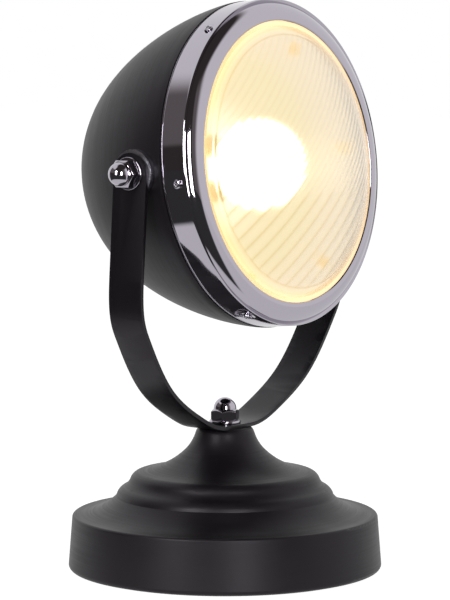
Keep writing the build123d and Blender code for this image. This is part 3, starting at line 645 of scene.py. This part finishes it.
def domeHeight(x, y, radius, sag):
    # cap of a sphere: height above its own edge
    ball = (radius ** 2 + sag ** 2) / (2 * sag)
    return np.sqrt(np.maximum(ball ** 2 - x * x - y * y, 0)) - (ball - sag)


def fluteShape(x, y):
    # the flutes' crests, from 0 in the valleys to 1: the absolute value of a sine across their
    # lean, twice as wide below; 1 inside the margin and 0 past it; and how high they are
    f = lensForm
    across = x * np.cos(f["lean"]) - y * np.sin(f["lean"])
    fine = 1 / (1 + np.exp(-(y - f["zoneHeight"]) / f["zoneBlend"]))
    crest = (fine * np.abs(np.sin(pi * across / f["pitch"]))
             + (1 - fine) * np.abs(np.sin(pi * across / (2 * f["pitch"]))))
    inside = 1 / (1 + np.exp((np.hypot(x, y) - f["margin"]) / f["marginBlend"]))
    return crest, inside, 1 + f["lowerRise"] * (1 - fine)


def markValleyShade(mesh):
    # a mask of painted shade for the glass: how deep in a valley each point of the inner dome
    # lies, as an attribute: the square of what its crest lacks, times the square of the flute's
    # height as a share of the highest;
    # and two fine lines past the margin, each a bell of the distance from it. Points away
    # from that dome get 0
    f = lensForm
    points = np.empty(len(mesh.vertices) * 3)
    mesh.vertices.foreach_get("co", points)
    local = points.reshape(-1, 3) - headPivot
    s, x, y = (local @ way / mm for way in (headAhead, headSide, headUp))
    crest, inside, height = fluteShape(x, y)
    past = np.hypot(x, y) - f["margin"]
    lines = sum(share * np.exp(-((past - out) / f["lineWide"]) ** 2) for out, share in f["lines"])
    depth = (1 - crest) ** 2 * inside * (height / (1 + f["lowerRise"])) ** 2 + lines
    dome = f["boreEdge"] + domeHeight(x, y, f["boreRadius"], f["boreSag"])
    onDome = np.abs(s - dome) < f["nearDome"]
    valley = mesh.attributes.new("valley", "FLOAT", "POINT")
    valley.data.foreach_set("value", (np.minimum(depth, 1) * onDome).astype(np.float32))


def makeLens(material):
    # two domes on the disc grid, the inner one fluted, with a bell-shaped bead round the
    # flutes; loops join them at the rim
    f = lensForm
    lean = f["lean"]

    def turned(x, y):
        # the grid's first direction runs across the flutes
        return x * np.cos(lean) + y * np.sin(lean), -x * np.sin(lean) + y * np.cos(lean)

    x, y = turned(*discGrid(f["across"], f["along"], f["domeRadius"]))
    front = onHead((f["edge"] + domeHeight(x, y, f["domeRadius"], f["sag"])) * mm, x * mm, y * mm)

    x, y = turned(*discGrid(f["across"], f["along"], f["boreRadius"]))
    crest, inside, height = fluteShape(x, y)
    past = np.hypot(x, y) - f["margin"] - f["beadOut"]
    bead = f["bead"] * np.exp(-(past / f["beadWide"]) ** 2)
    flute = f["depth"] * (inside * height * crest + bead)
    back = onHead((f["boreEdge"] + domeHeight(x, y, f["boreRadius"], f["boreSag"]) - flute) * mm,
                  x * mm, y * mm)

    ex, ey = (edgeOf(a) for a in turned(*discGrid(f["across"], f["along"], 1.0)))
    loops = [edgeOf(front)]
    for s, r in ((f["flangeFront"], f["domeRadius"]), (f["flangeFront"], f["flangeRadius"]),
                 (f["flangeBack"], f["flangeRadius"]), (f["flangeBack"], f["boreRadius"])):
        loops.append(onHead(np.full_like(ex, s * mm), r * mm * ex, r * mm * ey))
    loops.append(edgeOf(back))
    mesh = joinMeshes("lens_glass", [meshFromGrid("front", front), meshFromGrid("back", back),
                                     meshFromGrid("rim", np.stack(loops), closeV=True)],
                      smoothAngle=50)
    markValleyShade(mesh)
    return addPiece("lens_glass", mesh, "head", material, ["lens"])


# Clear soda glass, pressed: a little dulled by the mould, with painted shade tinting its valleys;
# its thick edge is tinted amber, and has a painted glow that stands for the bulb's light running
# inside it
glass = {
    "colour": "#fffdf6", "edgeColour": "#fff1d6", "valleyColour": "#e6d8a8",
    "edgeGlow": "#ffd79c", "edgeStrength": 0.19,
    "edgeFrom": 62.0, "edgeTo": 69.0,          # mm from the axis
    "roughness": 0.15,
}


def glassMaterial():
    material, tree, output = newMaterial("clear pressed glass")
    where = addNode(tree, "ShaderNodeTexCoord").outputs["Object"]
    edge = addNode(tree, "ShaderNodeMapRange", {"interpolation_type": "SMOOTHSTEP"},
                   Value=reachFrom(tree, turnedTo(tree, where, headAxis)),
                   From_Min=glass["edgeFrom"] * mm, From_Max=glass["edgeTo"] * mm)
    tint = addNode(tree, "ShaderNodeMix", {"data_type": "RGBA"}, _0=edge.outputs[0],
                   _6=toLinear(glass["colour"]), _7=toLinear(glass["edgeColour"]))
    # painted shade: where the mask says, the glass takes a darker, yellower tint along the
    # flutes' valleys and two fine lines past their margin
    valley = addNode(tree, "ShaderNodeAttribute", {"attribute_name": "valley"})
    tint = addNode(tree, "ShaderNodeMix", {"data_type": "RGBA"}, _0=valley.outputs["Fac"],
                   _6=tint.outputs[2], _7=toLinear(glass["valleyColour"]))
    # painted glow round the thick edge, standing for the bulb's light inside it
    glow = addNode(tree, "ShaderNodeMapRange", Value=edge.outputs[0], To_Min=0.0,
                   To_Max=glass["edgeStrength"])
    shader = addNode(tree, "ShaderNodeBsdfPrincipled", Base_Color=tint.outputs[2],
                     Roughness=glass["roughness"], IOR=1.5, Transmission_Weight=1.0,
                     Emission_Color=toLinear(glass["edgeGlow"]),
                     Emission_Strength=glow.outputs[0])
    tree.links.new(shader.outputs[0], output.inputs["Surface"])
    return material


makeLens(glassMaterial())
print("lens made")

# Floor, room and lamps: a white table and backdrop, a dark room on the viewer's side with
# two soft boxes. Only glossy reflections see the room.
studio = {
    "floorSize": 6.0,        # m, half its side
    "shadowShare": 0.32,     # how much of the floor takes light and shadow
    "floorGlow": 1.4,        # the rest shines, so that it stays white in the picture
    "worldLight": 0.3,       # what the room gives to surfaces
    "tableReach": 0.235,     # m, where the white table ends on the viewer's side
    "tableEdge": 0.04,       # m, over which it fades
    "tableShift": 0.07, "shiftWay": -80.0,     # its middle, m and degrees right of the viewer
    "tableLevel": 0.9,       # brightness of the table in reflections
    "darkWay": -27.5,        # the middle of the dark side, degrees right of the viewer
    "sideFrom": 0.05, "sideFull": 0.2,   # where the dark begins and is full, as cosines from it
    "darkLevel": 0.05, "dimLevel": 0.18,       # brightness of the room's dark and grey parts
    "roomRadius": 2.6, "roomMiddle": (0, 0, 0.15),   # m
    "warmth": (1.0, 1.05, 1.07, 0.0),          # powers of its red, green and blue; alpha is 1
}
# Where the room's brightness changes in reflections, from and to, in degrees right of the
# viewer's side and up
roomEdges = {
    "rightGrey": (26, 34), "rightWhite": (44, 66), "leftDark": (-66, -50),
    "leftWhite": (-116, -108), "stripGrey": (10, 13), "stripWhite": (36, 46),
    "ceiling": (50, 75), "ceilingEdge": (25, 37),    # its middle, and degrees from there
}
softBoxes = (   # degrees right of the viewer, distance and height in m, size in m, watts
    ("softbox_left", -36, 1.2, 0.49, (0.25, 0.72), 9.5),
    ("softbox_right", 13, 1.2, 0.36, (0.26, 0.68), 7.5),
)


def seenRay(tree, kinds):
    # 1 for rays of these kinds, otherwise 0
    path = addNode(tree, "ShaderNodeLightPath")
    total = path.outputs[kinds[0]]
    for kind in kinds[1:]:
        total = addNode(tree, "ShaderNodeMath", {"operation": "MAXIMUM"}, _0=total,
                        _1=path.outputs[kind]).outputs[0]
    return total


def makeFloor():
    size = studio["floorSize"]
    floor = bpy.data.objects.new("floor", bpy.data.meshes.new("floor"))
    corners = [(-size, -size, 0), (size, -size, 0), (size, size, 0), (-size, size, 0)]
    floor.data.from_pydata(corners, [], [(0, 1, 2, 3)])
    bpy.context.scene.collection.objects.link(floor)
    material, tree, output = newMaterial("white floor")
    # reflections: white table near the lamp, dark beyond its edge on the viewer's side
    where = addNode(tree, "ShaderNodeTexCoord").outputs["Object"]
    middle = towards(view["azimuth"] + studio["shiftWay"], 0) * studio["tableShift"]
    reach = addNode(tree, "ShaderNodeVectorMath", {"operation": "DISTANCE"}, _0=where,
                    _1=tuple(middle))
    edge = addNode(tree, "ShaderNodeMapRange", {"interpolation_type": "SMOOTHSTEP"},
                   Value=reach.outputs["Value"], From_Min=studio["tableReach"],
                   From_Max=studio["tableReach"] + studio["tableEdge"])
    heading = addNode(tree, "ShaderNodeVectorMath", {"operation": "NORMALIZE"}, _0=where)
    darkWay = towards(view["azimuth"] + studio["darkWay"], 0)
    ahead = addNode(tree, "ShaderNodeVectorMath", {"operation": "DOT_PRODUCT"},
                    _0=heading.outputs[0], _1=tuple(darkWay))
    near = addNode(tree, "ShaderNodeMapRange", {"interpolation_type": "SMOOTHSTEP"},
                   Value=ahead.outputs["Value"], From_Min=studio["sideFrom"],
                   From_Max=studio["sideFull"])
    dark = addNode(tree, "ShaderNodeMath", {"operation": "MULTIPLY"},
                   _0=edge.outputs[0], _1=near.outputs[0])
    mirrored = addNode(tree, "ShaderNodeMapRange", Value=dark.outputs[0],
                       To_Min=studio["tableLevel"], To_Max=studio["darkLevel"])
    shown = seenRay(tree, ("Is Camera Ray",))
    strength = addNode(tree, "ShaderNodeMix", {"data_type": "FLOAT"}, _0=shown,
                       _2=mirrored.outputs[0], _3=studio["floorGlow"])
    share = addNode(tree, "ShaderNodeMapRange", Value=shown, To_Min=1.0,
                    To_Max=1 - studio["shadowShare"])
    seen = seenRay(tree, ("Is Camera Ray", "Is Transmission Ray", "Is Glossy Ray"))
    share = addNode(tree, "ShaderNodeMath", {"operation": "MULTIPLY"},
                    _0=seen, _1=share.outputs[0])
    paint = addNode(tree, "ShaderNodeBsdfDiffuse", Color=toLinear("#ffffff"))
    light = addNode(tree, "ShaderNodeEmission", Color=(1, 1, 1, 1), Strength=strength.outputs[0])
    mix = addNode(tree, "ShaderNodeMixShader", _0=share.outputs[0], _1=paint.outputs[0],
                  _2=light.outputs[0])
    tree.links.new(mix.outputs[0], output.inputs["Surface"])
    floor.data.materials.append(material)


def roomLight(azimuth, elevation):
    # brightness of the room in a direction, in degrees right of the viewer's side and up:
    # white behind and to the sides, a dark front from far left to right with a soft right
    # edge, a low strip of dim grey on the left, and a dark ceiling that leans to the right
    def rise(value, start, end):
        t = np.clip((value - start) / (end - start), 0, 1)
        return t * t * (3 - 2 * t)

    a, e = np.radians(azimuth), np.radians(elevation)

    def away(toAzimuth, toElevation):
        ca, ce = radians(toAzimuth), radians(toElevation)
        return np.degrees(np.arccos(np.clip(
            np.cos(e) * np.cos(ce) * np.cos(a - ca) + np.sin(e) * np.sin(ce), -1, 1)))

    def greyThenWhite(value, grey, white):
        return dark + (dim - dark) * rise(value, *grey) + (1 - dim) * rise(value, *white)

    f = roomEdges
    dark, dim = studio["darkLevel"], studio["dimLevel"]
    right = greyThenWhite(azimuth, f["rightGrey"], f["rightWhite"])
    wall = greyThenWhite(elevation, f["stripGrey"], f["stripWhite"])
    inFront = rise(azimuth, *f["leftDark"])
    left = wall * (1 - inFront) + dark * inFront
    left = 1 - (1 - left) * rise(azimuth, *f["leftWhite"])
    level = np.where(azimuth < 0, left, right)
    ceiling = 1 - rise(away(*f["ceiling"]), *f["ceilingEdge"])
    return level * (1 - ceiling) + dark * ceiling


def makeRoom():
    # a half ball round the lamp, with points every degree round and every half degree up, seen
    # in reflections only; its glow is a colour of its points, a little warmer where it is dark
    azimuths = np.linspace(-180, 180, 361)
    elevations = np.linspace(-2, 90, 185)
    aa, ee = np.meshgrid(azimuths, elevations, indexing="ij")
    a = np.radians(aa + view["azimuth"])
    e = np.radians(ee)
    ways = np.stack([np.sin(a) * np.cos(e), -np.cos(a) * np.cos(e), np.sin(e)], -1)
    points = studio["roomRadius"] * ways + studio["roomMiddle"]
    mesh = meshFromGrid("room", points)
    level = roomLight(aa, ee)[..., None] ** np.array(studio["warmth"])
    glow = mesh.attributes.new("glow", "FLOAT_COLOR", "POINT")
    glow.data.foreach_set("color", level.ravel().astype(np.float32))
    room = bpy.data.objects.new("room", mesh)
    bpy.context.scene.collection.objects.link(room)
    room.visible_camera = False
    room.visible_diffuse = False
    room.visible_transmission = False
    room.visible_shadow = False
    material, tree, output = newMaterial("room")
    colour = addNode(tree, "ShaderNodeAttribute", {"attribute_name": "glow"})
    light = addNode(tree, "ShaderNodeEmission", Color=colour.outputs["Color"], Strength=1.0)
    tree.links.new(light.outputs[0], output.inputs["Surface"])
    mesh.materials.append(material)


def makeWorld():
    world = bpy.data.worlds.new("studio")
    world.use_nodes = True
    tree = world.node_tree
    tree.nodes.clear()
    output = tree.nodes.new("ShaderNodeOutputWorld")
    seen = seenRay(tree, ("Is Camera Ray", "Is Transmission Ray", "Is Glossy Ray"))
    strength = addNode(tree, "ShaderNodeMapRange", Value=seen, To_Min=studio["worldLight"],
                       To_Max=1.0)
    background = addNode(tree, "ShaderNodeBackground", Color=(1, 1, 1, 1),
                         Strength=strength.outputs[0])
    tree.links.new(background.outputs[0], output.inputs["Surface"])
    bpy.context.scene.world = world


def addSoftBox(name, azimuth, distance, height, size, power):
    # aimed at the lamp's middle
    aim = Vector(studio["roomMiddle"])
    place = towards(view["azimuth"] + azimuth, 0) * distance + Vector((0, 0, height))
    lamp = bpy.data.objects.new(name, bpy.data.lights.new(name, "AREA"))
    lamp.data.shape = "RECTANGLE"
    lamp.data.size, lamp.data.size_y = size
    lamp.data.energy = power
    lamp.location = place
    lamp.rotation_euler = (aim - place).to_track_quat("-Z", "Y").to_euler()
    bpy.context.scene.collection.objects.link(lamp)


makeFloor()
makeRoom()
makeWorld()
for softBox in softBoxes:
    addSoftBox(*softBox)
bpy.context.scene.view_settings.view_transform = "Standard"
print("studio made")
